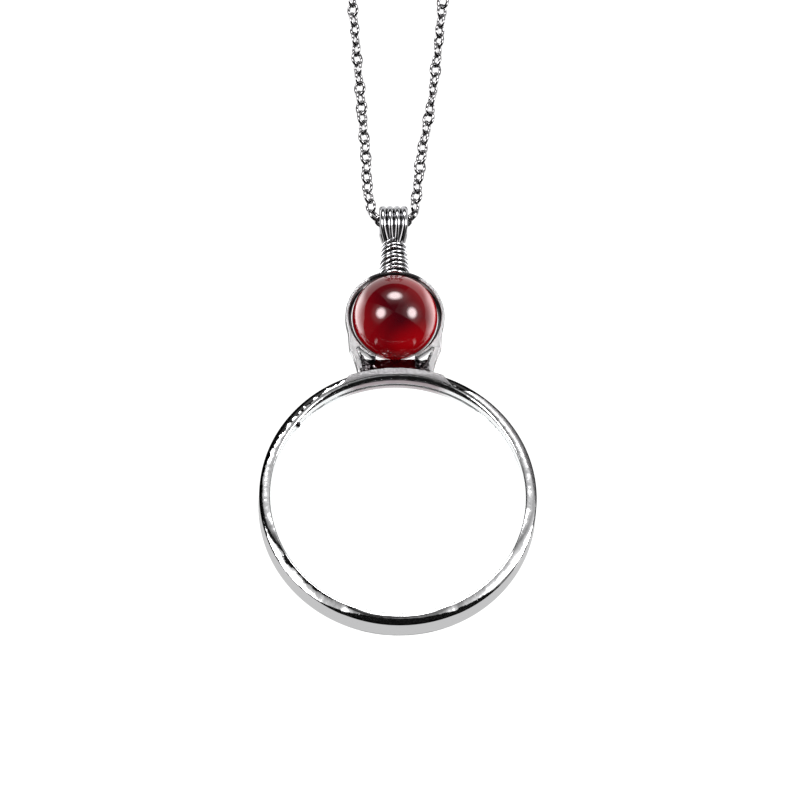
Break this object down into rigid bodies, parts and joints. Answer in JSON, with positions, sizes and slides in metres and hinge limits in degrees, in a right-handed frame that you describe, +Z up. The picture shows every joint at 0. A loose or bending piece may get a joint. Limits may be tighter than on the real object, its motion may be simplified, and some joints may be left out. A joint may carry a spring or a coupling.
{
  "type": "magnifier pendant on a chain",
  "caption": "Round magnifying lens in a polished ring under a bezel-set glass bead, hanging free by a looped wire bail on a fine cable chain.",
  "frame": {"origin": "at the back of the neck, under the clasp, where the necklace is held up", "axes": "+Z up along the hanging necklace, -Y out of the pendant's front, +X to the viewer's right when it is seen from the front"},
  "size_m": [0.0716, 0.0138, 0.3996],
  "materials": {
    "polished_metal": "polished silver-coloured plating over cast metal",
    "red_glass": "glossy deep red glass",
    "clear_glass": "clear polished optical glass",
    "chain_steel": "bright grey steel"
  },
  "bodies": {
    "necklace": {"chain": "chain_steel", "clasp": "chain_steel"},
    "pendant": {"setting": "polished_metal", "wrap_wire": "polished_metal", "bead": "red_glass", "lens": "clear_glass"}
  },
  "joints": [
    {"name": "pendant_swing", "type": "hinge", "parent": "necklace", "child": "pendant", "pos_m": [0, 0, -0.325], "axis": [1, 0, 0], "range_deg": [-90, 90]}
  ]
}
